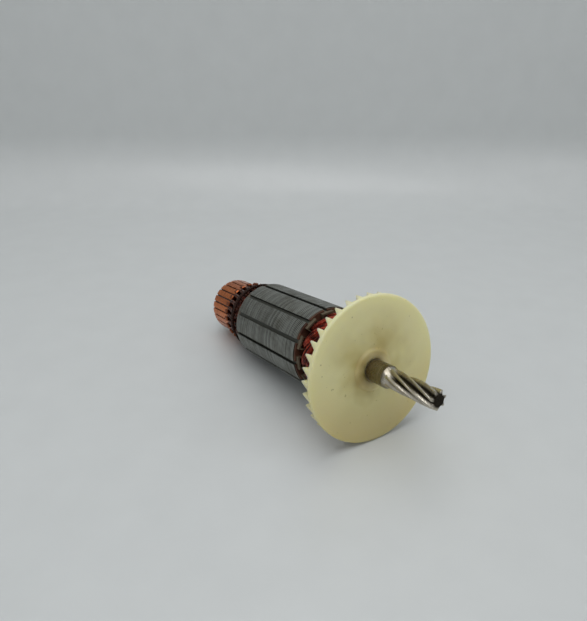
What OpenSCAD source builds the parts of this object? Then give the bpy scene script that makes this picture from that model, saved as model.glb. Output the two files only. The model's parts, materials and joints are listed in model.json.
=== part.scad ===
// Wound motor armature: helical-pinion shaft, slotted core, lap winding, commutator and cooling fan.
// Each piece is drawn along the shaft axis, with z = 0 at the fan's front face and +z towards the
// pinion, and lay_down() then sets the whole armature down on its side, as it comes to rest.

/* [Shaft] */
// Diameter of the plain seat for the front bearing
seat_d = 12; // [11:0.5:14]
// Length of the bearing seat in front of the fan
seat_l = 12; // [9:1:20]
// Diameter of the knurled seat that the fan is moulded round
fan_seat_d = 12.4; // [12.2:0.1:14.4]
// Diameter of the shaft inside the core and the commutator
core_shaft_d = 10; // [8:0.5:10.5]
// Diameter of the rear bearing journal
journal_d = 8; // [6:0.5:8]
// Length of the rear bearing journal
journal_l = 12; // [7:1:18]
// Length of shaft showing between the commutator and the journal
journal_shoulder_l = 3; // [2:0.5:6]
// Chamfer on the end of the journal
journal_chamfer = 0.6; // [0.2:0.1:1]
// Wall of the insulating tube moulded over the shaft
tube_wall = 2; // [1:0.25:2.5]

/* [Pinion] */
// Number of helical teeth cut in the end of the shaft
pinion_teeth = 7; // [5:1:8]
// Diameter over the tips of the pinion teeth
pinion_d = 10.3; // [9:0.1:11.4]
// Height of a pinion tooth
pinion_tooth_h = 2.1; // [1.4:0.1:2.4]
// Length of the pinion from the bearing seat to its end
pinion_l = 34; // [24:1:42]
// Distance along the shaft in which a tooth makes a whole turn
pinion_lead = 98; // [70:1:140]
// Length over which the tooth gaps rise to the seat
pinion_runout = 9; // [4:0.5:12]
// Chamfer on the end of the pinion
pinion_chamfer = 0.9; // [0.4:0.1:1.5]

/* [Fan] */
// Diameter of the fan's disc
fan_d = 80; // [66:1:96]
// Thickness of the fan's disc
fan_disc_t = 2.4; // [2:0.1:3]
// Number of saw-toothed blades on the back of the fan
fan_blades = 36; // [24:1:44]
// Height of a blade behind the disc at the rim
fan_blade_h = 5.2; // [3:0.2:7]
// Step from the disc's rim in to the outer ends of the blades
fan_blade_step = 0.5; // [0.2:0.1:1.5]
// Diameter at the inner ends of the blades
fan_blade_inner_d = 46; // [38:1:54]
// Diameter of the fan's hub
fan_hub_d = 21.6; // [18:0.2:25]
// Length of the hub behind the disc
fan_hub_l = 11; // [6:0.5:14]
// Height of the boss round the shaft on the front of the fan
fan_boss_h = 1.2; // [0.6:0.1:2]
// Depth to which the disc's face is dished towards the boss
fan_dish = 1; // [0.4:0.1:1.2]

/* [Core] */
// Diameter of the laminated core
core_d = 49; // [46:0.5:54]
// Length of the laminated core
core_l = 68; // [50:1:80]
// Distance from the fan's front face back to the core
core_setback = 39.5; // [36:0.5:46]
// Number of slots in the core
slots = 12; // [12:1:12]
// Width of a slot's mouth
slot_mouth = 2.2; // [1.8:0.1:2.8]
// Thickness of the lip that closes a slot over its wedge
slot_lip = 1.5; // [1.2:0.1:1.8]
// Width of the iron between two slots
tooth_w = 4.2; // [3.8:0.1:4.6]
// Thickness of the iron between the bore and the slots
yoke_t = 6.2; // [5.8:0.1:6.6]

/* [Insulation] */
// Thickness of the end insulators on the two faces of the core
end_insulator_t = 1; // [0.6:0.1:1.6]
// Thickness of the paper liners in the slots
liner_t = 0.25; // [0.15:0.05:0.35]
// Length of liner that stands out of the core at each end
liner_cuff = 3; // [2:0.25:4]
// Thickness of the slot wedges
wedge_t = 1; // [0.8:0.1:1.2]
// Length of wedge that stands out of the core at each end
wedge_cuff = 2; // [1:0.25:3]
// Clearance between the slots and what is pushed into them
slot_fit = 0.12; // [0.08:0.01:0.16]

/* [Winding] */
// Number of slots that a coil spans
coil_span = 5; // [5:1:5]
// Distance from the core to where a coil's end turn begins to bend
coil_exit = 4.25; // [3:0.25:5]
// Length of an end turn at the fan's end, from its bend to its fold
front_turn_l = 12.5; // [10.5:0.5:16]
// Length of an end turn at the commutator's end
rear_turn_l = 10.5; // [10.5:0.5:13]
// How far the end turns close in at the fan's end
front_turn_taper = 0.6; // [0.4:0.1:2]
// How far the end turns close in at the commutator's end
rear_turn_taper = 2.8; // [2:0.1:3.2]
// Clearance between neighbouring coils
coil_gap = 0.35; // [0.25:0.05:0.5]
// Diameter of a lead from the winding to the commutator
lead_d = 1.1; // [0.9:0.05:1.3]
// Diameter of the lacing cord tied round the leads
cord_d = 1.2; // [0.8:0.1:1.4]
// Number of turns of the lacing cord
cord_turns = 4; // [3:1:5]

/* [Commutator] */
// Diameter over the copper bars
commutator_d = 36; // [33:0.5:38]
// Length of the copper bars, from the hooks' end to the brush end
commutator_l = 26; // [20:1:32]
// Distance from the core back to the commutator
commutator_setback = 23; // [21.5:0.5:28]
// Number of copper bars
bars = 24; // [18:1:28]
// Width of the gap between two bars
bar_gap = 0.9; // [0.6:0.1:1.2]
// Depth of the gap left open above the moulding
undercut = 1.2; // [0.8:0.1:1.6]
// Depth of a copper bar below the brush track
bar_h = 3.6; // [3:0.1:4.5]
// Height of a hook above the brush track
hook_h = 2.4; // [2.1:0.1:3]
// Length of a hook along the shaft
hook_l = 4; // [3.5:0.25:5]
// Chamfer on the brush end of the bars
bar_chamfer = 0.5; // [0.3:0.1:0.8]

/* [Hidden] */
$fn = 96;

// Places along the shaft axis
pinion_z = seat_l;
pinion_end_z = pinion_z + pinion_l;
fan_back_z = -fan_disc_t;
blade_tip_z = fan_back_z - fan_blade_h;
hub_back_z = fan_back_z - fan_hub_l;
core_front_z = -core_setback;
core_rear_z = core_front_z - core_l;
bars_front_z = core_rear_z - commutator_setback;
bars_rear_z = bars_front_z - commutator_l;
journal_z = bars_rear_z - journal_shoulder_l;
rear_end_z = journal_z - journal_l;
boss_z = fan_boss_h - fan_dish;
seat_z = boss_z + 0.1;
seat_step_z = hub_back_z - 5;
tube_front_z = seat_step_z;
hub_front_z = bars_front_z + 1.5;
hub_rear_z = bars_rear_z - 1;
tube_rear_z = hub_front_z;

// Radii
seat_r = seat_d / 2;
fan_seat_r = max(fan_seat_d, seat_d + 0.2) / 2;
shaft_r = core_shaft_d / 2;
journal_r = journal_d / 2;
tube_r = shaft_r + tube_wall;
pinion_tip_r = pinion_d / 2;
pinion_root_r = pinion_tip_r - pinion_tooth_h;
pinion_end_r = pinion_root_r - 0.2;
fan_r = fan_d / 2;
blade_r = fan_r - fan_blade_step;
core_r = core_d / 2;
bar_r = commutator_d / 2;
bar_root_r = bar_r - bar_h;
slot_bottom_r = tube_r + yoke_t;
slot_top_r = core_r - slot_lip;
wedge_top_r = slot_top_r - slot_fit;
wedge_low_r = wedge_top_r - wedge_t;

// Coils: two layers share the depth of a slot between the liner and the wedge
slot_pitch = 360 / slots;
layer_gap = 0.3;
layer_h = (wedge_low_r - slot_bottom_r - liner_t - 3 * slot_fit - layer_gap) / 2;
inner_layer_r = slot_bottom_r + liner_t + slot_fit + layer_h / 2;
outer_layer_r = inner_layer_r + layer_h + layer_gap;
fold_r = (outer_layer_r - inner_layer_r) / 2;
layer_mid_r = (inner_layer_r + outer_layer_r) / 2;
winding_r = outer_layer_r + layer_h / 2;
coil_angle = coil_span * slot_pitch;
bend_z = max(coil_exit, end_insulator_t + liner_cuff + 0.2);
turn_steps = 14;
turn_ease = 0.25;
section_points = 8;

// Teeth, bars and blades are turned to where they stand when the armature has come to rest
slot_phase = 4;
bar_pitch = 360 / bars;
blade_pitch = 360 / fan_blades;
blade_tip_angle = blade_pitch * 0.13;
blade_phase = (blade_pitch - blade_tip_angle) / 2;

// The armature rests on two blade tips and on the first thing that touches behind them
rest_r = blade_r * cos((blade_pitch - blade_tip_angle) / 2);
rear_rests = [[core_rear_z, core_r], [bars_rear_z + bar_chamfer, bar_r]];
tilt = min([for (p = rear_rests) atan((rest_r - p[1]) / (blade_tip_z - p[0]))]);
rest_z = rest_r * cos(tilt) - blade_tip_z * sin(tilt);
front_x = pinion_end_z * cos(tilt) + pinion_end_r * sin(tilt);
rear_x = rear_end_z * cos(tilt) - (journal_r - journal_chamfer) * sin(tilt);
rest_x = -(front_x + rear_x) / 2;

coil_names = [for (i = [1:slots]) str("coil_", i < 10 ? "0" : "", i)];
wedge_names = [for (i = [1:slots]) str("slot_wedge_", i < 10 ? "0" : "", i)];
bar_names = [for (i = [1:bars]) str("commutator_bar_", i < 10 ? "0" : "", i)];

// Moves a piece from the shaft axis to where it lies
module lay_down() {
    translate([rest_x, 0, rest_z]) rotate([0, 90 - tilt, 0]) children();
}

// A tube or solid of revolution between two places on the axis
module sleeve(z0, z1, outer_r, inner_r = 0) {
    translate([0, 0, z0]) rotate_extrude()
        translate([inner_r, 0]) square([outer_r - inner_r, z1 - z0]);
}

// ---- Sweeping a closed section along rings of points ----

function ring_faces(rings, n, closed) = [
    for (i = [0:rings - (closed ? 1 : 2)], j = [0:n - 1])
        let (a = i * n + j, b = i * n + (j + 1) % n,
             c = ((i + 1) % rings) * n + (j + 1) % n, d = ((i + 1) % rings) * n + j)
        each [[a, c, b], [a, d, c]]
];

function cap_faces(rings, n) = [
    [for (j = [0:n - 1]) j],
    [for (j = [n - 1:-1:0]) (rings - 1) * n + j]
];

// ---- Shaft with its helical pinion ----

// One tooth: share of the pitch and share of the tooth's height
tooth_form = [[0, 0], [0.12, 0.02], [0.25, 0.4], [0.36, 0.86], [0.45, 1], [0.55, 1],
              [0.64, 0.86], [0.75, 0.4], [0.88, 0.02]];
pinion_step = 2;
pinion_bury = 1;
pinion_blank_r = seat_r - 0.1;

// The cutter leaves the gaps along an arc, so they rise towards the seat
function gap_floor(z) =
    let (t = min(1, max(0, 1 - (z - pinion_z) / pinion_runout)))
    pinion_root_r + (pinion_blank_r - pinion_root_r) * pow(t, 2);

function tooth_top(z) =
    z > pinion_end_z - pinion_chamfer / 2 ? pinion_end_r
    : pinion_blank_r + (pinion_tip_r - pinion_blank_r) * min(1, max(0, (z - pinion_z) / pinion_step));

function pinion_ring(z) = [
    for (k = [0:pinion_teeth - 1], p = tooth_form)
        let (angle = (k + p[0]) * 360 / pinion_teeth + 360 * (z - pinion_z) / pinion_lead,
             low = min(gap_floor(z), tooth_top(z)),
             r = low + (tooth_top(z) - low) * p[1])
        [r * cos(angle), r * sin(angle), z]
];

module pinion() {
    steps = ceil((pinion_l - pinion_chamfer) / pinion_step);
    cut_l = pinion_l - pinion_chamfer;
    rings = concat(
        [pinion_ring(pinion_z - pinion_bury)],
        [for (i = [0:steps]) pinion_ring(pinion_z + 0.1 + i * (cut_l - 0.1) / steps)],
        [pinion_ring(pinion_end_z)]
    );
    n = pinion_teeth * len(tooth_form);
    polyhedron(
        points = [for (ring = rings, p = ring) p],
        faces = concat(ring_faces(len(rings), n, false), cap_faces(len(rings), n))
    );
}

module shaft() {
    color("#8a8782") lay_down() {
        sleeve(seat_z, pinion_z, seat_r);
        sleeve(seat_step_z, seat_z, fan_seat_r);
        sleeve(journal_z, seat_step_z, shaft_r);
        translate([0, 0, rear_end_z]) rotate_extrude() polygon([
            [0, 0], [journal_r - journal_chamfer, 0], [journal_r, journal_chamfer],
            [journal_r, journal_l], [0, journal_l]
        ]);
        pinion();
    }
}

module shaft_insulation_tube() {
    color("#3b2a20") lay_down() sleeve(tube_rear_z, tube_front_z, tube_r, shaft_r);
}

// ---- Cooling fan: a dished disc with saw-toothed blades moulded on its back ----

// One blade: share of the pitch and share of the blade's height
blade_form = [[0, 0], [0.02, 0.92], [0.05, 1], [0.13, 1], [0.2, 0.86], [0.5, 0.14], [0.58, 0]];
// Share of its full height that a blade has at its outer end, halfway in and at its inner end
blade_heights = [1, 0.8, 0.25];
blade_bury = 0.5;

// The back of the blades and, buried in the disc, the flat face that joins them
module blade_ring() {
    n = fan_blades * len(blade_form);
    stations = len(blade_heights);
    inner_r = fan_blade_inner_d / 2;
    radii = [for (i = [0:stations - 1]) blade_r + (inner_r - blade_r) * i / (stations - 1)];
    angles = [for (k = [0:fan_blades - 1], p = blade_form) blade_phase + (k + p[0]) * blade_pitch];
    shares = [for (k = [0:fan_blades - 1], p = blade_form) p[1]];
    function around(r, heights) = [
        for (j = [0:n - 1]) [r * cos(angles[j]), r * sin(angles[j]), heights[j]]
    ];
    back = [
        for (i = [stations - 1:-1:0])
            around(radii[i], [for (s = shares) fan_back_z - fan_blade_h * blade_heights[i] * s])
    ];
    flat = [for (s = shares) fan_back_z + blade_bury];
    rings = concat([around(blade_r, flat), around(inner_r, flat)], back);
    polyhedron(
        points = [for (ring = rings, p = ring) p],
        faces = ring_faces(len(rings), n, true)
    );
}

module fan() {
    rim = 0.6;
    boss_r = fan_hub_d / 2;
    face = [
        for (t = [0:0.125:1])
            [boss_r + 1 + (fan_r - 1.5 - boss_r) * t - 0.5 * t, -fan_dish * (1 - pow(t, 1.5))]
    ];
    color("#e6dfb8") lay_down() {
        rotate_extrude() polygon(concat(
            [[fan_seat_r, hub_back_z], [boss_r - 1.2, hub_back_z], [boss_r - 0.4, fan_back_z],
             [fan_r - rim, fan_back_z], [fan_r, fan_back_z + rim], [fan_r, -rim],
             [fan_r - 0.2 * rim, -0.35 * rim]],
            [for (i = [len(face) - 1:-1:0]) face[i]],
            [[boss_r + 0.2, boss_z - 0.3], [boss_r - 0.4, boss_z], [fan_seat_r, boss_z]]
        ));
        blade_ring();
    }
}

// ---- Laminated core and its insulation ----

// Half the width of a slot at a distance from the axis: the iron between slots has parallel sides
function slot_half_w(r) = r * tan(slot_pitch / 2) - tooth_w / 2 / cos(slot_pitch / 2);

function slot_outline(clear) =
    let (low = slot_bottom_r + clear, top = slot_top_r - clear,
         corner = slot_half_w(low) / 2,
         side = [for (r = [low + corner, top]) [r, slot_half_w(r) - clear]],
         half = concat([[low, corner - clear / 2]], side))
    concat(half, [for (i = [len(half) - 1:-1:0]) [half[i][0], -half[i][1]]]);

module at_slots() {
    for (i = [0:slots - 1]) rotate([0, 0, slot_phase + i * slot_pitch]) children();
}

module core_section(outer_r) {
    difference() {
        circle(outer_r);
        circle(tube_r);
        at_slots() {
            polygon(slot_outline(0));
            translate([slot_top_r - 0.2, -slot_mouth / 2]) square([slot_lip + 1, slot_mouth]);
        }
    }
}

module core_plate(z0, z1, outer_r) {
    translate([0, 0, z0]) linear_extrude(z1 - z0) core_section(outer_r);
}

module lamination_stack() {
    color("#7d7f7e") lay_down() core_plate(core_rear_z, core_front_z, core_r);
}

module front_end_insulator() {
    color("#8f8a78") lay_down()
        core_plate(core_front_z, core_front_z + end_insulator_t, core_r - 0.5);
}

module rear_end_insulator() {
    color("#8f8a78") lay_down()
        core_plate(core_rear_z - end_insulator_t, core_rear_z, core_r - 0.5);
}

module slot_liners() {
    cuff = end_insulator_t + liner_cuff;
    opening_r = wedge_low_r - slot_fit;
    color("#a49c86") lay_down() at_slots()
        translate([0, 0, core_rear_z - cuff]) linear_extrude(core_l + 2 * cuff)
            difference() {
                polygon(slot_outline(slot_fit));
                polygon(slot_outline(slot_fit + liner_t));
                translate([opening_r, -core_r / 2]) square([slot_lip + 5, core_r]);
            }
}

module slot_wedge(i) {
    cuff = end_insulator_t + wedge_cuff;
    low_w = slot_half_w(wedge_low_r) - slot_fit;
    top_w = slot_half_w(wedge_top_r) - slot_fit;
    color("#4d5145") lay_down() rotate([0, 0, slot_phase + i * slot_pitch])
        translate([0, 0, core_rear_z - cuff]) linear_extrude(core_l + 2 * cuff) polygon([
            [wedge_low_r, low_w], [wedge_top_r, top_w], [wedge_top_r, -top_w], [wedge_low_r, -low_w]
        ]);
}

// ---- Lap winding ----
// A coil lies low in one slot and high in another. Its end turns climb along a cone, fold over
// outwards and come back along a wider cone, so that all the coils pass one another.

// A place on an end turn, a share of the way along it: its radius and its distance from the bend
function turn_place(share, turn_l, taper) =
    let (fold_l = PI * fold_r, total = 2 * turn_l + fold_l, q = share * total,
         bend = (q - turn_l) / fold_r * 180 / PI)
    q <= turn_l ? [inner_layer_r - taper * q / turn_l, q]
    : q < turn_l + fold_l ? [layer_mid_r - taper - fold_r * cos(bend), turn_l + fold_r * sin(bend)]
    : [outer_layer_r - taper * (total - q) / turn_l, total - q];

function turn_angle(share) = coil_angle * (share - turn_ease * sin(360 * share) / (2 * PI));

function turn_point(share, turn_l, taper, start_z, way) =
    let (p = turn_place(share, turn_l, taper), a = turn_angle(share))
    [p[0] * cos(a), p[0] * sin(a), start_z + way * p[1]];

coil_path = concat(
    [for (i = [0:turn_steps])
        turn_point(i / turn_steps, front_turn_l, front_turn_taper, core_front_z + bend_z, 1)],
    [for (i = [turn_steps:-1:0])
        turn_point(i / turn_steps, rear_turn_l, rear_turn_taper, core_rear_z - bend_z, -1)]
);

// Width of a coil low in its slot, high in its slot and between its neighbours in an end turn
function slot_room(r) = 2 * (slot_half_w(r) - liner_t - 2 * slot_fit);
low_w = slot_room(inner_layer_r - layer_h / 4);
high_w = slot_room(outer_layer_r - layer_h / 4);
coil_spread = 0.7;
fold_steps = 2;
fold_pinch = 0.4;

// A coil spreads step by step out of its slot, until its neighbours leave no more room
function section_w(i, r, t, around) =
    let (j = i <= turn_steps ? i : 2 * turn_steps + 1 - i,
         slot_w = j < turn_steps / 2 ? low_w : high_w,
         room = 2 * PI * r / slots * norm(t - (t * around) * around) - coil_gap)
    min(slot_w + coil_spread * max(0, min(j, turn_steps - j) - 1), max(room, 0.1));

// The inside of a fold is drawn together, where all the coils turn round one small circle
function pinch(i, side) =
    let (j = i <= turn_steps ? i : 2 * turn_steps + 1 - i)
    abs(j - turn_steps / 2) <= fold_steps && side < 0 ? fold_pinch : 1;

section_form = [for (j = [0:section_points - 1])
    let (a = (j + 0.5) * 360 / section_points)
    [cos(a) / cos(180 / section_points) / 2, sin(a) / cos(180 / section_points) / 2]];

function unit(v) = v / norm(v);

function coil_ring(i) =
    let (n = len(coil_path), p = coil_path[i],
         t = unit(coil_path[(i + 1) % n] - coil_path[(i + n - 1) % n]),
         around = unit([-p[1], p[0], 0]),
         across = unit(around - (around * t) * t),
         up = cross(t, across),
         w = section_w(i, norm([p[0], p[1]]), t, around))
    [for (f = section_form) p + across * f[0] * w * pinch(i, f[1]) + up * f[1] * layer_h];

module coil(i) {
    rings = [for (j = [0:len(coil_path) - 1]) coil_ring(j)];
    color("#7a1f16") lay_down() rotate([0, 0, slot_phase + i * slot_pitch]) polyhedron(
        points = [for (ring = rings, p = ring) p],
        faces = ring_faces(len(rings), section_points, true)
    );
}

// ---- Commutator ----

gap_angle = 2 * asin(bar_gap / 2 / bar_r);
bar_angle = bar_pitch - gap_angle;
foot_h = 2;
foot_in = 5;

// The dovetail under a bar, by which the moulding holds it
foot_outline = [
    [bar_root_r, bars_rear_z + foot_in + foot_h], [bar_root_r - foot_h, bars_rear_z + foot_in],
    [bar_root_r - foot_h, bars_front_z - foot_in], [bar_root_r, bars_front_z - foot_in - foot_h]
];

module sector(angle, middle) {
    rotate([0, 0, middle - angle / 2]) rotate_extrude(angle = angle) children();
}

module commutator_hub() {
    color("#2a2522") lay_down() {
        difference() {
            sleeve(hub_rear_z, hub_front_z, bar_root_r, shaft_r);
            rotate_extrude() polygon(foot_outline);
        }
        for (i = [0:bars - 1]) sector(gap_angle, (i + 0.5) * bar_pitch)
            translate([bar_root_r - foot_h - 1, bars_rear_z])
                square([foot_h + 1 + bar_h - undercut, commutator_l]);
    }
}

module commutator_bar(i) {
    hook_low_r = bar_r + lead_d + 0.2;
    hook_top_r = bar_r + hook_h;
    riser = 1;
    color("#b86a3c") lay_down() {
        sector(bar_angle, i * bar_pitch) polygon(concat(
            [[bar_root_r, bars_rear_z], [bar_r - bar_chamfer, bars_rear_z],
             [bar_r, bars_rear_z + bar_chamfer], [bar_r, bars_front_z], [bar_root_r, bars_front_z]],
            [for (k = [3:-1:0]) foot_outline[k]]
        ));
        sector(bar_angle / 2, i * bar_pitch) polygon([
            [bar_r - 0.5, bars_front_z], [bar_r - 0.5, bars_front_z - riser],
            [hook_low_r, bars_front_z - riser], [hook_low_r, bars_front_z - hook_l + 0.6],
            [bar_r + 0.3, bars_front_z - hook_l], [hook_top_r - 1, bars_front_z - hook_l],
            [hook_top_r, bars_front_z - hook_l + 1.2], [hook_top_r, bars_front_z - 0.6],
            [hook_top_r - 0.6, bars_front_z]
        ]);
    }
}

// ---- Leads and their lacing ----
// Each lead is a loop of the winding's own wire: out to a bar, round its hook and back.

lead_r = lead_d / 2;
lead_clear = 0.1;
cord_r = cord_d / 2;

// Height of the winding over the axis, a share of the way along the rear end turn
function winding_top(share) = winding_r - rear_turn_taper * share;
function rear_turn_z(share) = core_rear_z - bend_z - rear_turn_l * share;

lead_sides = 5;
lead_side_angle = bar_angle / 4 + asin((lead_r + lead_clear) / bar_r);
lead_slant = 7;
lead_half = [
    [lead_side_angle, bar_r + lead_r + lead_clear, bars_front_z - 1 - lead_r - lead_clear],
    [lead_side_angle, bar_r + lead_r + lead_clear, bars_front_z + 1],
    [lead_side_angle, winding_top(1) + lead_r + lead_clear, rear_turn_z(1.05)],
    [lead_side_angle, winding_top(0.25) + lead_r + lead_clear, rear_turn_z(0.25)]
];

function lead_points(half) = [
    for (k = [0:len(half) - 1])
        let (a = half[k][0] + (k > 1 ? lead_slant * (k - 1) / 2 : 0))
        [half[k][1] * cos(a), half[k][1] * sin(a), half[k][2]]
];

module lead_loop() {
    out = lead_points([for (p = lead_half) [-p[0], p[1], p[2]]]);
    home = lead_points(lead_half);
    path = concat([for (k = [len(out) - 1:-1:0]) out[k]], home);
    n = len(path);
    rings = [
        for (i = [0:n - 1])
            let (t = unit(path[min(n - 1, i + 1)] - path[max(0, i - 1)]),
                 away = unit([path[i][0], path[i][1], 0]),
                 up = unit(away - (away * t) * t), across = cross(t, up))
            [for (j = [0:lead_sides - 1])
                let (a = j * 360 / lead_sides)
                path[i] + lead_r * (cos(a) * up + sin(a) * across)]
    ];
    polyhedron(
        points = [for (ring = rings, p = ring) p],
        faces = concat(ring_faces(n, lead_sides, false), cap_faces(n, lead_sides))
    );
}

module coil_leads() {
    color("#5a2a1c") lay_down()
        for (i = [0:bars - 1]) rotate([0, 0, i * bar_pitch]) lead_loop();
}

module lacing_cord() {
    color("#4a3524") lay_down() rotate_extrude()
        for (i = [0:cord_turns - 1])
            let (share = 0.95 - i * 0.9 * cord_d / rear_turn_l)
            translate([winding_top(share) + lead_d + 2 * lead_clear + cord_r, rear_turn_z(share)])
                circle(cord_r, $fn = 24);
}

shaft();
shaft_insulation_tube();
fan();
lamination_stack();
front_end_insulator();
rear_end_insulator();
slot_liners();
commutator_hub();
coil_leads();
lacing_cord();
for (i = [0:slots - 1]) {
    slot_wedge(i);
    coil(i);
}
for (i = [0:bars - 1])
    commutator_bar(i);
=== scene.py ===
"""Looks of a wound motor armature: materials, coils wound wire by wire, card floor, lights, camera.

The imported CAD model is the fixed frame. Lengths in the code are in millimetres along or across the
shaft axis, with z = 0 at the fan's front face, and to_frame() turns them into the frame's metres.
The stage is in metres, in the frame itself.
"""

import json
import math
import random

import bpy
import numpy as np
from mathutils import Matrix, Vector


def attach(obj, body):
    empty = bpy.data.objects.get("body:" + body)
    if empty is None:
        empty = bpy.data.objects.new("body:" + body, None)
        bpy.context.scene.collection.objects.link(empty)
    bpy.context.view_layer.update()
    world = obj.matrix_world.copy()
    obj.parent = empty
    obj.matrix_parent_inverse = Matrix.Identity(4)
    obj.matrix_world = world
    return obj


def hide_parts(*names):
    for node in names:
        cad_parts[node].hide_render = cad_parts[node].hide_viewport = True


bl_info = {
    "name": "Motor Armature Looks",
    "version": (1, 0, 0),
    "blender": (4, 5, 0),
    "location": "3D View > Sidebar > Armature",
    "description": "Dresses a wound motor armature: steel, copper, nylon and enamelled wire",
    "category": "Object",
}

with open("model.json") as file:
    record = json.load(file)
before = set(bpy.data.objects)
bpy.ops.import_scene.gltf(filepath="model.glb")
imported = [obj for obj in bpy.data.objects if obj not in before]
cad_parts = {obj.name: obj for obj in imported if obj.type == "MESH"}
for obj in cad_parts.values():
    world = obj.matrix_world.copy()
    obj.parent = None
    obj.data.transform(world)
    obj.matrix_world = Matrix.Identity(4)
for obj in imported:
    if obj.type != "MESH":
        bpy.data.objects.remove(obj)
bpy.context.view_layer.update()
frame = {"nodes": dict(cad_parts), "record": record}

MM = 0.001


# ---- Sizes of the armature: heights along the shaft and radii from its axis, in millimetres ----

SEAT_MIDDLE = 6.15
CORE_FRONT, CORE_REAR = -39.5, -107.5
BARS = 24

# Where one colour fades into the next: the pinion's teeth and the painted shade in the gaps
# between them, the fan's painted shade from boss to rim and down towards the floor, the painted
# shade on the core below its outer skin, a wedge's painted shade within the slot giving way to its
# own colour at its ends past the core's faces, the darker rear end turns and the bars' hooks
TEETH_START = (12.0, 14.0)
TOOTH_GAP_R = (3.1, 4.3)
BOSS_TO_RIM_R = (6.0, 36.0)
FAN_SHADE_DEPTH = (-12.0, 36.0)
SLOT_SHADE_R = (23.2, 24.2)
WEDGE_END = (-0.2, 0.6)
REAR_TURN_EDGE = (-108.0, -106.0)
HOOKS = (-136.5, -133.0)

# The same lap winding as the CAD coils, but with front end turns that bulge; angles in degrees
SLOTS = 12
SLOT_PHASE = 4.0
COIL_ANGLE = 150.0
CORNER = 4.25
FRONT_TURN, REAR_TURN = 12.5, 10.5
FRONT_TAPER, REAR_TAPER = 0.6, 2.8
FRONT_BULGE = 1.9
INNER_R, OUTER_R, LAYER_H = 15.51, 19.70, 3.885
FOLD_R = (OUTER_R - INNER_R) / 2
LOW_W, HIGH_W = 2.46, 4.6
TURN_EASE = 0.25
COIL_GAP = 0.25
COIL_SPREAD = 10.0

# How the wires lie in a bundle: how square its section is, how far they drift and how they vary
SECTION_POWER = 0.7
DRIFT_ACROSS, DRIFT_UP = 0.34, 0.3
DRIFT_WAVES = (2, 5, 9)
WIRE_VARIATION = (0.92, 1.06)
WIRE_SIDES, FILLING_SIDES = 6, 8
TURN_STEPS = 44
FIRST_SEED = 40


# ---- The shaft axis, found from the front bearing seat ----

seat = next(m for m in frame["record"]["mounts"] if m["name"] == "front_bearing_seat")
AXIS = Vector(seat["axis"]).normalized()
LOW_SIDE = Vector((AXIS.z, 0, -AXIS.x))
ORIGIN = Vector(seat["pos_m"]) - AXIS * SEAT_MIDDLE * MM
SHAFT_SPACE = Matrix.Translation(ORIGIN) @ Matrix((LOW_SIDE, (0, 1, 0), AXIS)).transposed().to_4x4()


def to_frame(points):
    """Points in millimetres about the shaft axis, as frame points in metres."""
    turn = np.array(SHAFT_SPACE.to_3x3())
    return np.asarray(points, float) * MM @ turn.T + np.array(ORIGIN)


# ---- Colours and nodes ----


def linear(code):
    """The linear colour of an sRGB hex value."""
    parts = [int(code[i : i + 2], 16) / 255 for i in (1, 3, 5)]
    return [p / 12.92 if p <= 0.04045 else ((p + 0.055) / 1.055) ** 2.4 for p in parts]


def add(tree, kind, inputs=(), **settings):
    """Adds a node with its settings. The inputs come in order, or by name or number: each is a
    value, a hex colour, a socket, or a node whose first live output is linked."""
    made = tree.nodes.new(kind)
    for name, value in settings.items():
        setattr(made, name, value)
    for name, value in inputs.items() if isinstance(inputs, dict) else enumerate(inputs):
        if isinstance(value, bpy.types.Node):
            value = next(out for out in value.outputs if out.enabled)
        if isinstance(value, bpy.types.NodeSocket):
            tree.links.new(value, made.inputs[name])
        else:
            value = (*linear(value), 1) if isinstance(value, str) else value
            made.inputs[name].default_value = value
    return made


def new_material(name):
    """An empty material and its tree."""
    material = bpy.data.materials.new(name)
    material.use_nodes = True
    material.node_tree.nodes.clear()
    return material, material.node_tree


def shaft_space(tree):
    """Coordinates in millimetres about the shaft axis."""
    here = add(tree, "ShaderNodeTexCoord").outputs["Object"]
    axes = (here, ORIGIN, SHAFT_SPACE.to_euler(), (MM, MM, MM))
    return add(tree, "ShaderNodeMapping", axes, vector_type="TEXTURE")


def finish_surface(tree, inputs):
    """Ends a material with the shader that takes these values and links."""
    shader = add(tree, "ShaderNodeBsdfPrincipled", inputs)
    add(tree, "ShaderNodeOutputMaterial", {"Surface": shader})


def radius_at(tree, place):
    """Distance from the shaft axis, in millimetres."""
    flat = add(tree, "ShaderNodeVectorMath", (place, (1, 1, 0)), operation="MULTIPLY")
    return add(tree, "ShaderNodeVectorMath", (flat,), operation="LENGTH")


def turns_at(tree, place):
    """Angle about the shaft axis, in turns."""
    part = add(tree, "ShaderNodeSeparateXYZ", (place,))
    angle = add(tree, "ShaderNodeMath", (part.outputs[1], part.outputs[0]), operation="ARCTAN2")
    return add(tree, "ShaderNodeMath", (angle, math.tau), operation="DIVIDE")


def height_at(tree, place):
    """Height along the shaft from the fan's front face, in millimetres."""
    return add(tree, "ShaderNodeSeparateXYZ", (place,)).outputs[2]


# ---- Materials ----
#
# A noise has the scale 1 / the size of its grains in millimetres. A Map Range takes its value, then
# the ends that it comes from and the ends that it goes to. A colour Mix takes its share at input 0
# and its colours at 6 and 7. Relief is in millimetres, times MM.


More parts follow.
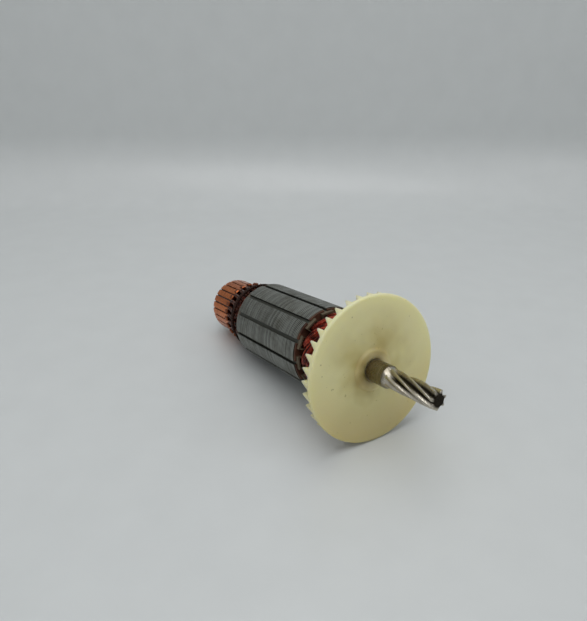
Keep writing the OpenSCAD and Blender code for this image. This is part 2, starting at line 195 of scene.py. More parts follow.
def ground_steel():
    """Carbon steel, ground on the seats and hobbed on the pinion: grey-brown, with fine rings round
    the seat and bright hobbed teeth, and painted shade darkens the gaps between the teeth towards
    near black. The grinding marks are drawn 0.28 mm wide, coarser than real, so that they show."""
    made, tree = new_material("ground_steel")
    place = shaft_space(tree)
    drawn = add(tree, "ShaderNodeVectorMath", (place, (1 / 40, 1 / 40, 1)), operation="MULTIPLY")
    rings = add(tree, "ShaderNodeTexNoise", {"Vector": drawn, "Scale": 1 / 0.28, "Detail": 2})
    cloud = add(tree, "ShaderNodeTexNoise", {"Vector": place, "Scale": 1 / 5, "Detail": 4})
    ringed = add(tree, "ShaderNodeMapRange", (rings, 0.35, 0.7))
    ground = add(tree, "ShaderNodeMix", {0: ringed, 6: "#928a79", 7: "#6b6353"}, data_type="RGBA")
    clouded = add(tree, "ShaderNodeMapRange", (cloud, 0.35, 0.7))
    hobbed = add(tree, "ShaderNodeMix", {0: clouded, 6: "#c9c3b6", 7: "#aaa292"}, data_type="RGBA")
    pinion = add(tree, "ShaderNodeMapRange", (height_at(tree, place), *TEETH_START))
    steel = add(tree, "ShaderNodeMix", {0: pinion, 6: ground, 7: hobbed}, data_type="RGBA")
    # Painted shade: the gaps between the pinion's teeth are darkened towards near black
    gap = add(tree, "ShaderNodeMapRange", (radius_at(tree, place), *TOOTH_GAP_R, 1, 0))
    gap_painted_shade = add(tree, "ShaderNodeMath", (gap, pinion), operation="MULTIPLY")
    finish_surface(tree, {
        "Base Color": add(
            tree, "ShaderNodeMix", {0: gap_painted_shade, 6: steel, 7: "#262119"}, data_type="RGBA"
        ),
        "Metallic": 1.0,
        "Roughness": add(tree, "ShaderNodeMapRange", (cloud, 0.3, 0.7, 0.22, 0.36)),
        "Normal": add(tree, "ShaderNodeBump", {"Height": rings, "Distance": 0.01 * MM}),
    })
    return made


def moulded_nylon(tint):
    """Unfilled PA6 nylon, injection moulded: creamy and faintly translucent, with soft mould haze
    and a few dark specks. Painted shade darkens it, mottled, from the rim towards the boss, and
    towards its bottom edge, the side that the armature lies on. The moulded edges are drawn soft."""
    made, tree = new_material("moulded_nylon")
    place = shaft_space(tree)
    cloud = add(tree, "ShaderNodeTexNoise", {"Vector": place, "Scale": 1 / 18, "Detail": 2})
    haze = add(tree, "ShaderNodeTexNoise", {"Vector": place, "Scale": 1 / 0.8, "Detail": 2})
    speck = add(tree, "ShaderNodeTexNoise", {"Vector": place, "Scale": 1 / 2.2, "Detail": 1})
    # Painted shade: the face darkens, mottled, from the rim towards the boss, and towards its bottom
    # edge nearer the floor
    inner = add(tree, "ShaderNodeMapRange", (radius_at(tree, place), *BOSS_TO_RIM_R, 1, 0))
    patchy = add(tree, "ShaderNodeMapRange", (cloud, 0.32, 0.66, 0.35, 1))
    hub_painted_shade = add(tree, "ShaderNodeMath", (inner, patchy), operation="MULTIPLY")
    down = add(tree, "ShaderNodeSeparateXYZ", (place,)).outputs[0]
    low_side_painted_shade = add(tree, "ShaderNodeMapRange", (down, *FAN_SHADE_DEPTH, 0, 0.6))
    fan_painted_shade = add(tree, "ShaderNodeMath", (hub_painted_shade, low_side_painted_shade), operation="MAXIMUM")
    shade = add(tree, "ShaderNodeMix", {0: fan_painted_shade, 6: (*tint, 1), 7: "#9c8849"}, data_type="RGBA")
    specks = add(tree, "ShaderNodeMapRange", (speck, 0.73, 0.8, 0, 0.45))
    edges = add(tree, "ShaderNodeBevel", {"Radius": 1.8 * MM}, samples=8)
    finish_surface(tree, {
        "Base Color": add(
            tree, "ShaderNodeMix", {0: specks, 6: shade, 7: "#8a7a45"}, data_type="RGBA"
        ),
        "Roughness": add(tree, "ShaderNodeMapRange", (haze, 0.3, 0.7, 0.36, 0.48)),
        "IOR": 1.53,
        "Subsurface Weight": 0.8,
        "Subsurface Radius": (1.0, 0.85, 0.45),
        "Subsurface Scale": 9 * MM,
        "Normal": add(
            tree, "ShaderNodeBump", {"Height": haze, "Distance": 0.012 * MM, "Normal": edges}
        ),
    })
    return made


def stamped_laminations(pitch):
    """Silicon-steel sheets, stamped and stacked: their bare cut edges make fine rings, some a little
    proud and bright, under a brownish film; below the core's outer skin, in the slots, painted
    shade darkens the steel. Real sheets are 0.5 mm; they are drawn coarser so that they show."""
    made, tree = new_material("stamped_laminations")
    place = shaft_space(tree)
    warp = add(tree, "ShaderNodeTexNoise", {"Vector": place, "Scale": 1 / 20, "Detail": 1})
    bowed = add(
        tree, "ShaderNodeMath", (warp, 4.0, height_at(tree, place)), operation="MULTIPLY_ADD"
    )
    sheet = add(tree, "ShaderNodeMath", (bowed, pitch), operation="DIVIDE")
    phase = add(tree, "ShaderNodeMath", (sheet, math.tau), operation="MULTIPLY")
    wave = add(tree, "ShaderNodeMath", (phase,), operation="SINE")
    number = add(tree, "ShaderNodeMath", (sheet,), operation="FLOOR")
    own = add(tree, "ShaderNodeTexWhiteNoise", {"W": number}, noise_dimensions="1D")
    weak = add(tree, "ShaderNodeMath", (wave, 0.42), operation="MULTIPLY")
    edge = add(tree, "ShaderNodeMath", (own, 0.45, weak), operation="MULTIPLY_ADD")
    film = add(
        tree, "ShaderNodeTexNoise",
        {"Vector": place, "Scale": 1 / 9, "Detail": 5, "Roughness": 0.6},
    )
    bright = add(tree, "ShaderNodeMapRange", (edge, -0.3, 0.6))
    steel = add(tree, "ShaderNodeMix", {0: bright, 6: "#22231e", 7: "#999b94"}, data_type="RGBA")
    brown = add(tree, "ShaderNodeMapRange", (film, 0.45, 0.75, 0, 0.55))
    steel = add(tree, "ShaderNodeMix", {0: brown, 6: steel, 7: "#4a4537"}, data_type="RGBA")
    # Painted shade: the steel below the core's outer skin, in the slots, is darkened
    slot_painted_shade = add(tree, "ShaderNodeMapRange", (radius_at(tree, place), *SLOT_SHADE_R, 1, 0))
    finish_surface(tree, {
        "Base Color": add(
            tree, "ShaderNodeMix", {0: slot_painted_shade, 6: steel, 7: "#2b2a26"}, data_type="RGBA"
        ),
        "Metallic": 0.85,
        "Roughness": add(tree, "ShaderNodeMapRange", (film, 0.3, 0.7, 0.36, 0.55)),
        "Normal": add(tree, "ShaderNodeBump", {"Height": edge, "Distance": 0.1 * MM}),
    })
    return made


def pressed_fibre():
    """Vulcanised fibre, pressed into sheet: red-brown from the varnish that it soaked up, with a
    felted grain, drawn coarser than real so that it shows."""
    made, tree = new_material("pressed_fibre")
    place = shaft_space(tree)
    felt = add(tree, "ShaderNodeTexNoise", {"Vector": place, "Scale": 1 / 0.7, "Detail": 4})
    stain = add(tree, "ShaderNodeTexNoise", {"Vector": place, "Scale": 1 / 6, "Detail": 3})
    shade = add(tree, "ShaderNodeMix", {0: felt, 6: "#4a2c20", 7: "#6d4a36"}, data_type="RGBA")
    soaked = add(tree, "ShaderNodeMapRange", (stain, 0.4, 0.65, 0, 0.85))
    finish_surface(tree, {
        "Base Color": add(
            tree, "ShaderNodeMix", {0: soaked, 6: shade, 7: "#35150f"}, data_type="RGBA"
        ),
        "Roughness": 0.55,
        "Normal": add(tree, "ShaderNodeBump", {"Height": felt, "Distance": 0.05 * MM}),
    })
    return made


def slot_paper():
    """Aramid slot paper, folded: grey-beige and matt, with fibres along the shaft, browned in
    patches by the varnish."""
    made, tree = new_material("slot_paper")
    place = shaft_space(tree)
    drawn = add(tree, "ShaderNodeVectorMath", (place, (1, 1, 1 / 5)), operation="MULTIPLY")
    fibre = add(tree, "ShaderNodeTexNoise", {"Vector": drawn, "Scale": 1 / 0.5, "Detail": 4})
    stain = add(tree, "ShaderNodeTexNoise", {"Vector": place, "Scale": 1 / 4, "Detail": 3})
    shade = add(tree, "ShaderNodeMix", {0: fibre, 6: "#5c4a38", 7: "#8a7a62"}, data_type="RGBA")
    soaked = add(tree, "ShaderNodeMapRange", (stain, 0.4, 0.65, 0, 0.9))
    finish_surface(tree, {
        "Base Color": add(
            tree, "ShaderNodeMix", {0: soaked, 6: shade, 7: "#43261a"}, data_type="RGBA"
        ),
        "Roughness": 0.62,
        "Normal": add(tree, "ShaderNodeBump", {"Height": fibre, "Distance": 0.03 * MM}),
    })
    return made


def wedge_strip():
    """Glass-fibre laminate strip, pushed in under the slot lips: long fibres, near black with
    painted shade within the slots and its own clean grey-beige at the ends."""
    made, tree = new_material("wedge_strip")
    place = shaft_space(tree)
    drawn = add(tree, "ShaderNodeVectorMath", (place, (1, 1, 1 / 20)), operation="MULTIPLY")
    fibre = add(tree, "ShaderNodeTexNoise", {"Vector": drawn, "Scale": 1 / 0.4, "Detail": 3})
    grain = add(tree, "ShaderNodeMapRange", (fibre, 0.3, 0.7))
    # Painted shade: the strip is near black within the slots; its ends past the core's faces keep
    # its own grey-beige
    shade = add(tree, "ShaderNodeMix", {0: grain, 6: "#2b2c24", 7: "#45463b"}, data_type="RGBA")
    middle, half = (CORE_FRONT + CORE_REAR) / 2, (CORE_FRONT - CORE_REAR) / 2
    centred = add(tree, "ShaderNodeMath", (height_at(tree, place), middle), operation="SUBTRACT")
    reach = add(tree, "ShaderNodeMath", (centred,), operation="ABSOLUTE")
    ends = add(tree, "ShaderNodeMapRange", (reach, half + WEDGE_END[0], half + WEDGE_END[1]))
    finish_surface(tree, {
        "Base Color": add(
            tree, "ShaderNodeMix", {0: ends, 6: shade, 7: "#5f5443"}, data_type="RGBA"
        ),
        "Roughness": 0.5,
        "Normal": add(tree, "ShaderNodeBump", {"Height": fibre, "Distance": 0.03 * MM}),
    })
    return made


def moulded_phenolic():
    """Phenolic resin, compression moulded with mineral filler: near black, half-matt and finely
    speckled. The filler's grit is drawn coarser than real so that it shows."""
    made, tree = new_material("moulded_phenolic")
    place = shaft_space(tree)
    filler = add(
        tree, "ShaderNodeTexNoise",
        {"Vector": place, "Scale": 1 / 0.5, "Detail": 4, "Roughness": 0.7},
    )
    share = add(tree, "ShaderNodeMapRange", (filler, 0.4, 0.8))
    finish_surface(tree, {
        "Base Color": add(
            tree, "ShaderNodeMix", {0: share, 6: "#1e1713", 7: "#3c2d23"}, data_type="RGBA"
        ),
        "Roughness": add(tree, "ShaderNodeMapRange", (filler, 0.3, 0.7, 0.38, 0.55)),
        "IOR": 1.6,
        "Normal": add(tree, "ShaderNodeBump", {"Height": filler, "Distance": 0.02 * MM}),
    })
    return made


def turned_copper(tint):
    """Silver-bearing copper, turned on a lathe and run in: orange-brown metal with fine tool rings,
    each bar a little different, browner near the hooks where it was hot-staked. The rings are drawn
    0.45 mm wide, coarser than the real feed, so that they show."""
    made, tree = new_material("turned_copper")
    place = shaft_space(tree)
    drawn = add(tree, "ShaderNodeVectorMath", (place, (1 / 60, 1 / 60, 1)), operation="MULTIPLY")
    rings = add(tree, "ShaderNodeTexNoise", {"Vector": drawn, "Scale": 1 / 0.45, "Detail": 3})
    film = add(tree, "ShaderNodeTexNoise", {"Vector": place, "Scale": 1 / 4, "Detail": 4})
    count = add(
        tree, "ShaderNodeMath", (turns_at(tree, place), BARS, 0.5), operation="MULTIPLY_ADD"
    )
    number = add(tree, "ShaderNodeMath", (count,), operation="FLOOR")
    own = add(tree, "ShaderNodeTexWhiteNoise", {"W": number}, noise_dimensions="1D")
    varied = add(tree, "ShaderNodeMath", (own, 0.4), operation="MULTIPLY")
    shade = add(tree, "ShaderNodeMix", {0: varied, 6: (*tint, 1), 7: "#a9573a"}, data_type="RGBA")
    ringed = add(tree, "ShaderNodeMapRange", (rings, 0.45, 0.75, 0, 0.5))
    shade = add(tree, "ShaderNodeMix", {0: ringed, 6: shade, 7: "#8c4a2c"}, data_type="RGBA")
    filmed = add(tree, "ShaderNodeMapRange", (film, 0.55, 0.8, 0, 0.5))
    shade = add(tree, "ShaderNodeMix", {0: filmed, 6: shade, 7: "#6a3522"}, data_type="RGBA")
    hot = add(tree, "ShaderNodeMapRange", (height_at(tree, place), *HOOKS, 0, 0.8))
    finish_surface(tree, {
        "Base Color": add(
            tree, "ShaderNodeMix", {0: hot, 6: shade, 7: "#74402a"}, data_type="RGBA"
        ),
        "Metallic": 1.0,
        "Roughness": add(tree, "ShaderNodeMapRange", (film, 0.3, 0.7, 0.2, 0.34)),
        "Normal": add(tree, "ShaderNodeBump", {"Height": rings, "Distance": 0.03 * MM}),
    })
    return made


def enamelled_wire(tint):
    """Copper winding wire in clear red polyester enamel under a brushed coat of varnish: the metal
    shines through it, crimson with coppery streaks, near black where the varnish has pooled, and
    browner at the commutator's end."""
    made, tree = new_material("enamelled_wire")
    place = shaft_space(tree)
    pool = add(tree, "ShaderNodeTexNoise", {"Vector": place, "Scale": 1 / 5, "Detail": 4})
    streak = add(tree, "ShaderNodeTexNoise", {"Vector": place, "Scale": 1 / 0.9, "Detail": 3})
    bare = add(tree, "ShaderNodeMapRange", (streak, 0.4, 0.7, 0, 0.8))
    shade = add(tree, "ShaderNodeMix", {0: bare, 6: (*tint, 1), 7: "#cc7050"}, data_type="RGBA")
    pooled = add(tree, "ShaderNodeMapRange", (pool, 0.4, 0.6, 0, 0.88))
    shade = add(tree, "ShaderNodeMix", {0: pooled, 6: shade, 7: "#2a0907"}, data_type="RGBA")
    rear = add(tree, "ShaderNodeMapRange", (height_at(tree, place), *REAR_TURN_EDGE, 0.75, 0))
    finish_surface(tree, {
        "Base Color": add(
            tree, "ShaderNodeMix", {0: rear, 6: shade, 7: "#3a1a0f"}, data_type="RGBA"
        ),
        "Metallic": 0.9,
        "Roughness": add(tree, "ShaderNodeMapRange", (pool, 0.3, 0.7, 0.25, 0.4)),
        "Coat Weight": 0.12,
        "Coat Roughness": 0.1,
        "Coat IOR": 1.5,
        "Normal": add(tree, "ShaderNodeBump", {"Height": streak, "Distance": 0.04 * MM}),
    })
    return made


def varnish_and_crevice_shade():
    """Impregnating varnish between the wires, cured in the oven and glossy; its near-black brown is
    painted shade in the crevices between the wires.
    """
    made, tree = new_material("varnish_and_crevice_shade")
    place = shaft_space(tree)
    pool = add(tree, "ShaderNodeTexNoise", {"Vector": place, "Scale": 1 / 1.5, "Detail": 3})
    finish_surface(tree, {
        "Base Color": add(
            tree, "ShaderNodeMix", {0: pool, 6: "#120403", 7: "#2c0b07"}, data_type="RGBA"
        ),
        "Roughness": add(tree, "ShaderNodeMapRange", (pool, 0.3, 0.7, 0.3, 0.55)),
        "IOR": 1.55,
        "Coat Weight": 0.6,
        "Coat Roughness": 0.15,
        "Normal": add(tree, "ShaderNodeBump", {"Height": pool, "Distance": 0.1 * MM}),
    })
    return made


def varnished_lead():
    """Winding wire laid to the hooks and soaked in varnish: brown, half-glossy and patchy."""
    made, tree = new_material("varnished_lead")
    place = shaft_space(tree)
    soak = add(tree, "ShaderNodeTexNoise", {"Vector": place, "Scale": 1 / 2.5, "Detail": 4})
    share = add(tree, "ShaderNodeMapRange", (soak, 0.35, 0.68))
    finish_surface(tree, {
        "Base Color": add(
            tree, "ShaderNodeMix", {0: share, 6: "#6a3520", 7: "#1d0f0a"}, data_type="RGBA"
        ),
        "Metallic": 0.4,
        "Roughness": add(tree, "ShaderNodeMapRange", (soak, 0.3, 0.7, 0.35, 0.6)),
        "Coat Weight": 0.7,
        "Coat Roughness": 0.25,
        "Normal": add(tree, "ShaderNodeBump", {"Height": soak, "Distance": 0.08 * MM}),
    })
    return made


def laced_cord():
    """Twisted polyester lacing cord, tied tight and varnished: brown, with a slanting two-ply
    twist of 90 plies round the shaft."""
    made, tree = new_material("laced_cord")
    place = shaft_space(tree)
    slant = add(tree, "ShaderNodeMath", (height_at(tree, place), 4.0), operation="MULTIPLY")
    ply = add(
        tree, "ShaderNodeMath", (turns_at(tree, place), 90 * math.tau, slant),
        operation="MULTIPLY_ADD",
    )
    twist = add(tree, "ShaderNodeMath", (ply,), operation="SINE")
    soak = add(tree, "ShaderNodeTexNoise", {"Vector": place, "Scale": 1 / 3, "Detail": 3})
    crown = add(tree, "ShaderNodeMapRange", (twist, -1, 1))
    shade = add(tree, "ShaderNodeMix", {0: crown, 6: "#1d0f08", 7: "#42261a"}, data_type="RGBA")
    soaked = add(tree, "ShaderNodeMapRange", (soak, 0.4, 0.7, 0, 0.8))
    finish_surface(tree, {
        "Base Color": add(
            tree, "ShaderNodeMix", {0: soaked, 6: shade, 7: "#170b06"}, data_type="RGBA"
        ),
        "Roughness": 0.75,
        "Specular IOR Level": 0.2,
        "Normal": add(tree, "ShaderNodeBump", {"Height": twist, "Distance": 0.12 * MM}),
    })
    return made


def white_card():
    """Coated white card, rolled smooth: an even pale grey under soft light, with a weak sheen and
    the faintest cloudiness of its fibre."""
    made, tree = new_material("white_card")
    here = add(tree, "ShaderNodeTexCoord").outputs["Object"]
    size = 25 * MM
    fibre = add(tree, "ShaderNodeTexNoise", {"Vector": here, "Scale": 1 / size, "Detail": 3})
    finish_surface(tree, {
        "Base Color": add(
            tree, "ShaderNodeMix", {0: fibre, 6: "#cdd0d0", 7: "#d4d7d7"}, data_type="RGBA"
        ),
        "Roughness": 0.36,
    })
    return made


# ---- Pieces ----


def cad_piece(name):
    """The CAD piece of this name."""
    if name not in frame["nodes"]:
        raise RuntimeError(f"the frame has no piece named {name}")
    return frame["nodes"][name]


def dress(names, material):
    """Puts one material on each named CAD piece."""
    for name in names:
        mesh = cad_piece(name).data
        mesh.materials.clear()
        mesh.materials.append(material)


def numbered(stem, count):
    """The names of a row of like pieces."""
    return [f"{stem}_{i:02d}" for i in range(1, count + 1)]


def mesh_piece(name, points, faces, materials, face_materials):
    """A smooth mesh object from shaft-space points."""
    mesh = bpy.data.meshes.new(name)
    mesh.from_pydata(to_frame(points).tolist(), [], faces)
    for material in materials:
        mesh.materials.append(material)
    mesh.polygons.foreach_set("use_smooth", [True] * len(mesh.polygons))
    mesh.polygons.foreach_set("material_index", face_materials)
    mesh.validate()
    made = bpy.data.objects.new(name, mesh)
    bpy.context.scene.collection.objects.link(made)
    return made


def unit(vectors):
    """The vectors, each scaled to a length of one."""
    return vectors / np.linalg.norm(vectors, axis=-1, keepdims=True)


def end_turn(length, taper, bulge, start, way):
    """Points along one end turn of a coil, and how wide its bundle is at each. The turn goes out
    in the lower layer, folds over and comes back in the upper one."""
    share = np.linspace(0, 1, TURN_STEPS)
    fold = math.pi * FOLD_R
    total = 2 * length + fold
    gone = share * total
    left = total - gone
    out, folding = gone <= length, gone < length + fold
    bend = np.clip((gone - length) / FOLD_R, 0, math.pi)
    middle = (INNER_R + OUTER_R) / 2 - taper
    radius = np.where(
        out,
        INNER_R - taper * gone / length,
        np.where(folding, middle - FOLD_R * np.cos(bend), OUTER_R - taper * left / length),
    )
    along = np.where(out, gone, np.where(folding, length + FOLD_R * np.sin(bend), left))
    radius = radius + bulge * np.sqrt(np.sin(math.pi * np.clip(2 * share - 1, 0, 1)))
    eased = share - TURN_EASE * np.sin(math.tau * share) / math.tau
    angle = np.radians(COIL_ANGLE) * eased
    height = start + way * along
    points = np.stack([radius * np.cos(angle), radius * np.sin(angle), height], axis=1)
    slot_w = np.where(share < 0.5, LOW_W, HIGH_W)
    return points, slot_w + COIL_SPREAD * np.minimum(share, 1 - share)


def coil_line():
    """A coil's closed centre line, with its bundle's width and its across and up directions."""
    front, front_w = end_turn(FRONT_TURN, FRONT_TAPER, FRONT_BULGE, CORE_FRONT + CORNER, 1)
    rear, rear_w = end_turn(REAR_TURN, REAR_TAPER, 0.0, CORE_REAR - CORNER, -1)
    line = np.concatenate([front, rear[::-1]])
    width = np.concatenate([front_w, rear_w[::-1]])
    along = unit(np.roll(line, -1, axis=0) - np.roll(line, 1, axis=0))
    flat = line * (1, 1, 0)
    around = unit(np.stack([-flat[:, 1], flat[:, 0], np.zeros(len(flat))], axis=1))
    lean = (around * along).sum(1, keepdims=True)
    radius = np.linalg.norm(flat, axis=1)
    facing = np.linalg.norm(along - lean * around, axis=1)
    width = np.minimum(width, math.tau * radius / SLOTS * facing - COIL_GAP)
    across = unit(around - lean * along)
    return line, width, across, np.cross(along, across)


def strand_places(count):
    """Where the wires sit round a bundle's rounded section, as shares of its width and height."""
    places = []
    for i in range(count):
        angle = math.tau * (i + 0.5) / count
        c, s = math.cos(angle), math.sin(angle)
        rounded = (math.copysign(abs(v) ** SECTION_POWER, v) / 2 for v in (c, s))
        places.append(tuple(rounded))
    return places


def tube(points, side, up, radius):
    """The rings of points of one wire along its line."""
    angles = np.arange(WIRE_SIDES) * math.tau / WIRE_SIDES
    across = np.cos(angles)[None, :, None] * side[:, None]
    ring = across + np.sin(angles)[None, :, None] * up[:, None]
    return (points[:, None] + radius * ring).reshape(-1, 3)


def varnish_and_shade_body(line, width, across, up, wire_r):
    """The rings of points of the varnish that fills a bundle up to its wires' middles, a near-black
    body that is painted shade between the wires.
    """
    edges = []
    for j in range(FILLING_SIDES):
        angle = math.tau * (j + 0.5) / FILLING_SIDES
        sideways = across * (math.cos(angle) * (width / 2 - wire_r))[:, None]
        edges.append(line + sideways + up * math.sin(angle) * (LAYER_H / 2 - wire_r))
    return np.stack(edges, axis=1).reshape(-1, 3)


def ring_faces(rings, sides, first):
    """Quads between neighbouring rings of points, closed from the last ring to the first."""
    faces = []
    for i in range(rings):
        a, b = first + i * sides, first + (i + 1) % rings * sides
        for j in range(sides):
            k = (j + 1) % sides
            faces.append((a + j, a + k, b + k, b + j))
    return faces


def wander(rng, count, reach):
    """A smooth closed random drift."""
    turn = np.linspace(0, math.tau, count, endpoint=False)
    total = np.zeros(count)
    for n in DRIFT_WAVES:
        total += rng.uniform(-1, 1) * np.sin(n * turn + rng.uniform(0, math.tau)) / math.sqrt(n)
    return reach * total


def wind_bundle(rng, strands, wire_r, line, width, across, up):
    """One bundle: its points, its faces, and 0 for each face of a wire or 1 for the varnish filling,
    whose near-black colour is painted shade between the wires.
    """
    count = len(line)
    parts, faces = [], []
    for x, y in strand_places(strands):
        drift_x = x * (width - 2 * wire_r) + wander(rng, count, DRIFT_ACROSS)
        drift_y = y * (LAYER_H - 2 * wire_r) + wander(rng, count, DRIFT_UP)
        wire = line + across * drift_x[:, None] + up * drift_y[:, None]
        faces += ring_faces(count, WIRE_SIDES, len(parts) * count * WIRE_SIDES)
        parts.append(tube(wire, across, up, wire_r * rng.uniform(*WIRE_VARIATION)))
    kinds = [0] * len(faces)
    # The near-black filling body is painted shade in the crevices between the wires
    filling = ring_faces(count, FILLING_SIDES, len(parts) * count * WIRE_SIDES)
    parts.append(varnish_and_shade_body(line, width, across, up, wire_r))
    return np.concatenate(parts), faces + filling, kinds + [1] * len(filling)


class MotorLooks(bpy.types.PropertyGroup):
    """Sizes and colours of the armature's dress."""

    wire_d: bpy.props.FloatProperty(
        name="Winding wire", description="Diameter of the enamelled wire", default=1.0 * MM,
        min=0.3 * MM, max=1.2 * MM, subtype="DISTANCE", unit="LENGTH", precision=5,
    )
    strands: bpy.props.IntProperty(
        name="Strands", description="Wires that show round each bundle", default=15, min=8, max=26
    )
    sheet_pitch: bpy.props.FloatProperty(
        name="Sheet pitch", description="Spacing of the rings drawn on the core", default=1.25 * MM,
        min=0.4 * MM, max=2 * MM, subtype="DISTANCE", unit="LENGTH", precision=5,
    )
    enamel: bpy.props.FloatVectorProperty(
        name="Enamel", description="Colour of the wire's enamel", default=linear("#a02114"),
        min=0, max=1, size=3, subtype="COLOR",
    )
    nylon: bpy.props.FloatVectorProperty(
        name="Nylon", description="Colour of the fan", default=linear("#f5e9b4"),
        min=0, max=1, size=3, subtype="COLOR",
    )
    copper: bpy.props.FloatVectorProperty(
        name="Copper", description="Colour of the commutator bars", default=linear("#d67c42"),
        min=0, max=1, size=3, subtype="COLOR",
    )


class MOTOR_OT_dress_shaft(bpy.types.Operator):
    """Finish the shaft and its pinion in ground steel"""

    bl_idname = "motor.dress_shaft"
    bl_label = "Shaft"

    def execute(self, context):
        dress(["shaft"], ground_steel())
        return {"FINISHED"}


class MOTOR_OT_dress_fan(bpy.types.Operator):
    """Finish the cooling fan in natural nylon"""

    bl_idname = "motor.dress_fan"
    bl_label = "Fan"

    def execute(self, context):
        dress(["fan"], moulded_nylon(context.scene.motor_looks.nylon))
        return {"FINISHED"}


class MOTOR_OT_dress_core(bpy.types.Operator):
    """Finish the stacked core in stamped steel sheets"""

    bl_idname = "motor.dress_core"
    bl_label = "Core"

    def execute(self, context):
        pitch = context.scene.motor_looks.sheet_pitch / MM
        dress(["lamination_stack"], stamped_laminations(pitch))
        return {"FINISHED"}


class MOTOR_OT_dress_insulation(bpy.types.Operator):
    """Finish the end plates, slot papers, wedges and tube"""

    bl_idname = "motor.dress_insulation"
    bl_label = "Insulation"

    def execute(self, context):
        dress(["front_end_insulator", "rear_end_insulator"], pressed_fibre())
        dress(["slot_liners"], slot_paper())
        dress(numbered("slot_wedge", SLOTS), wedge_strip())
        dress(["shaft_insulation_tube"], moulded_phenolic())
        return {"FINISHED"}


class MOTOR_OT_wind_coils(bpy.types.Operator):
    """Wind each coil wire by wire in place of its plain bundle"""

    bl_idname = "motor.wind_coils"
    bl_label = "Coils"

    def execute(self, context):
        looks = context.scene.motor_looks
        materials = [enamelled_wire(looks.enamel), varnish_and_crevice_shade()]
        coil_shape = coil_line()
        wire_r = looks.wire_d / MM / 2
        for coil, plain in enumerate(numbered("coil", SLOTS)):
            cad_piece(plain)
            rng = random.Random(FIRST_SEED + coil)
            points, faces, kinds = wind_bundle(rng, looks.strands, wire_r, *coil_shape)
            turn = math.radians(SLOT_PHASE + coil * 360 / SLOTS)
            c, s = math.cos(turn), math.sin(turn)
            points = points @ np.array([[c, s, 0], [-s, c, 0], [0, 0, 1]])
            made = mesh_piece(f"wound_{plain}", points, faces, materials, kinds)
            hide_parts(plain)
            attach(made, "root")
        return {"FINISHED"}


class MOTOR_OT_dress_leads(bpy.types.Operator):
    """Finish the leads and the cord that ties them"""

    bl_idname = "motor.dress_leads"
    bl_label = "Leads and Lacing"

    def execute(self, context):
        dress(["coil_leads"], varnished_lead())
        dress(["lacing_cord"], laced_cord())
        return {"FINISHED"}


class MOTOR_OT_dress_commutator(bpy.types.Operator):
    """Finish the commutator's copper bars and moulded hub"""

    bl_idname = "motor.dress_commutator"
    bl_label = "Commutator"

    def execute(self, context):
        copper = turned_copper(context.scene.motor_looks.copper)
        dress(numbered("commutator_bar", BARS), copper)
        dress(["commutator_hub"], moulded_phenolic())
        return {"FINISHED"}


# ---- Stage, in metres ----

# The card's profile: how far it comes forward of the armature, where its flat part ends behind it,
# the radius and steps of its bend, the height of its wall and half its breadth
CARD_FRONT, CARD_FLAT, CARD_BEND, BEND_STEPS = -1.2, 0.38, 0.08, 16
CARD_WALL, CARD_HALF = 1.6, 2.2

# The room is a little darker near the horizon than overhead
SKY_STRENGTH = 0.62
SKY_LOW, SKY_HIGH, SKY_RISE = "#b0b3b4", "#f1f3f4", 0.75

# Each light's name, place, size and power in watts; both face the armature's middle
LIGHTS = (
    ("overhead_panel", (-0.03, -0.02, 1.1), (1.6, 0.6), 6.2),
    ("side_panel", (0.6, 0.5, 0.7), (0.3, 0.3), 0.5),
)
LIT_POINT = Vector((0, 0, 0.04))

# Which way the camera looks, in degrees, its lens, and where the middle of the fan's face lies from
# it: to its right, down and ahead, in millimetres
CAMERA_AZIMUTH, CAMERA_PITCH = 147.58, 24.97
CAMERA_LENS = 35.07
FAN_FROM_CAMERA = (41.45, 30.52, 310.58)


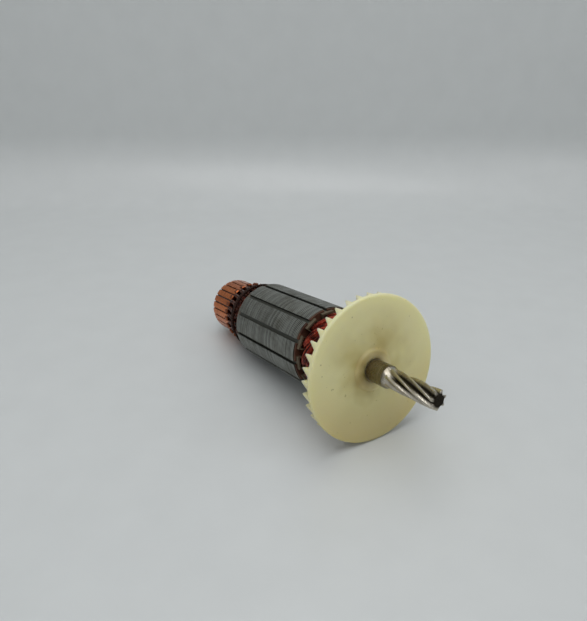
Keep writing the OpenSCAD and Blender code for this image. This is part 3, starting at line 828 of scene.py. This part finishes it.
class MOTOR_OT_set_stage(bpy.types.Operator):
    """Lay the pale sweep and set the soft lights and the camera"""

    bl_idname = "motor.set_stage"
    bl_label = "Stage"

    def execute(self, context):
        scene = context.scene
        self.add_sweep(scene)
        self.add_room(scene)
        self.add_lights(scene)
        self.add_camera(scene)
        return {"FINISHED"}

    def add_sweep(self, scene):
        """A card that lies flat under the armature and curves up behind it."""
        view = math.radians(CAMERA_AZIMUTH)
        ahead = Vector((math.cos(view), math.sin(view), 0))
        side = Vector((-ahead.y, ahead.x, 0))
        profile = [(CARD_FRONT, 0.0), (0.0, 0.0), (CARD_FLAT, 0.0)]
        for i in range(1, BEND_STEPS + 1):
            angle = math.pi / 2 * i / BEND_STEPS
            rise = CARD_BEND * (1 - math.cos(angle))
            profile.append((CARD_FLAT + CARD_BEND * math.sin(angle), rise))
        profile.append((CARD_FLAT + CARD_BEND, CARD_BEND + CARD_WALL))
        points = []
        for reach, height in profile:
            for edge in (CARD_HALF, -CARD_HALF):
                points.append(ahead * reach + side * edge + Vector((0, 0, height)))
        faces = [(2 * i, 2 * i + 1, 2 * i + 3, 2 * i + 2) for i in range(len(profile) - 1)]
        mesh = bpy.data.meshes.new("card_sweep")
        mesh.from_pydata(points, [], faces)
        mesh.polygons.foreach_set("use_smooth", [True] * len(faces))
        mesh.materials.append(white_card())
        sweep = bpy.data.objects.new("card_sweep", mesh)
        scene.collection.objects.link(sweep)

    def add_room(self, scene):
        """A plain pale room that lights the armature from all round."""
        world = bpy.data.worlds.new("soft_room")
        scene.world = world
        world.use_nodes = True
        tree = world.node_tree
        tree.nodes.clear()
        way = add(tree, "ShaderNodeTexCoord").outputs["Generated"]
        height = add(tree, "ShaderNodeSeparateXYZ", (way,)).outputs[2]
        share = add(tree, "ShaderNodeMapRange", (height, 0.0, SKY_RISE))
        pale = add(tree, "ShaderNodeMix", {0: share, 6: SKY_LOW, 7: SKY_HIGH}, data_type="RGBA")
        light = add(tree, "ShaderNodeBackground", {"Color": pale, "Strength": SKY_STRENGTH})
        add(tree, "ShaderNodeOutputWorld", {"Surface": light})

    def add_lights(self, scene):
        """The soft panels."""
        for name, place, size, power in LIGHTS:
            data = bpy.data.lights.new(name, "AREA")
            data.shape = "RECTANGLE"
            data.size, data.size_y = size
            data.energy = power
            lamp = bpy.data.objects.new(name, data)
            lamp.location = place
            towards = LIT_POINT - lamp.location
            lamp.rotation_euler = towards.to_track_quat("-Z", "Y").to_euler()
            scene.collection.objects.link(lamp)

    def add_camera(self, scene):
        """The camera, with depth of field off."""
        view, pitch = math.radians(CAMERA_AZIMUTH), math.radians(CAMERA_PITCH)
        level = math.cos(pitch)
        ahead = Vector((level * math.cos(view), level * math.sin(view), -math.sin(pitch)))
        right = Vector((math.sin(view), -math.cos(view), 0))
        down = ahead.cross(right)
        data = bpy.data.cameras.new("camera")
        data.lens = CAMERA_LENS
        data.dof.use_dof = False
        camera = bpy.data.objects.new("camera", data)
        steps = zip((right, down, ahead), FAN_FROM_CAMERA)
        offset = sum((way * step for way, step in steps), Vector((0, 0, 0)))
        turn = Matrix((right, -down, -ahead)).transposed().to_4x4()
        camera.matrix_world = Matrix.Translation(ORIGIN - offset * MM) @ turn
        scene.collection.objects.link(camera)
        scene.camera = camera
        scene.view_settings.view_transform = "Standard"


# ---- The add-on ----


class MOTOR_PT_looks(bpy.types.Panel):
    """Lists the armature's pieces and their sizes and colours"""

    bl_idname = "MOTOR_PT_looks"
    bl_label = "Motor Armature"
    bl_space_type = "VIEW_3D"
    bl_region_type = "UI"
    bl_category = "Armature"

    def draw(self, context):
        looks = context.scene.motor_looks
        for name in ("wire_d", "strands", "sheet_pitch", "enamel", "nylon", "copper"):
            self.layout.prop(looks, name)
        for step in STEPS:
            self.layout.operator(step.bl_idname)


STEPS = (
    MOTOR_OT_dress_shaft,
    MOTOR_OT_dress_fan,
    MOTOR_OT_dress_core,
    MOTOR_OT_dress_insulation,
    MOTOR_OT_wind_coils,
    MOTOR_OT_dress_leads,
    MOTOR_OT_dress_commutator,
    MOTOR_OT_set_stage,
)
CLASSES = (MotorLooks, *STEPS, MOTOR_PT_looks)


def register():
    """Registers the classes and gives the scene its sizes and colours."""
    for cls in CLASSES:
        bpy.utils.register_class(cls)
    bpy.types.Scene.motor_looks = bpy.props.PointerProperty(type=MotorLooks)


def unregister():
    """Takes back what register() did."""
    del bpy.types.Scene.motor_looks
    for cls in reversed(CLASSES):
        bpy.utils.unregister_class(cls)


def main():
    """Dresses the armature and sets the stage."""
    register()
    bpy.ops.motor.dress_shaft()
    bpy.ops.motor.dress_fan()
    bpy.ops.motor.dress_core()
    bpy.ops.motor.dress_insulation()
    bpy.ops.motor.wind_coils()
    bpy.ops.motor.dress_leads()
    bpy.ops.motor.dress_commutator()
    bpy.ops.motor.set_stage()


if __name__ == "__main__":
    main()
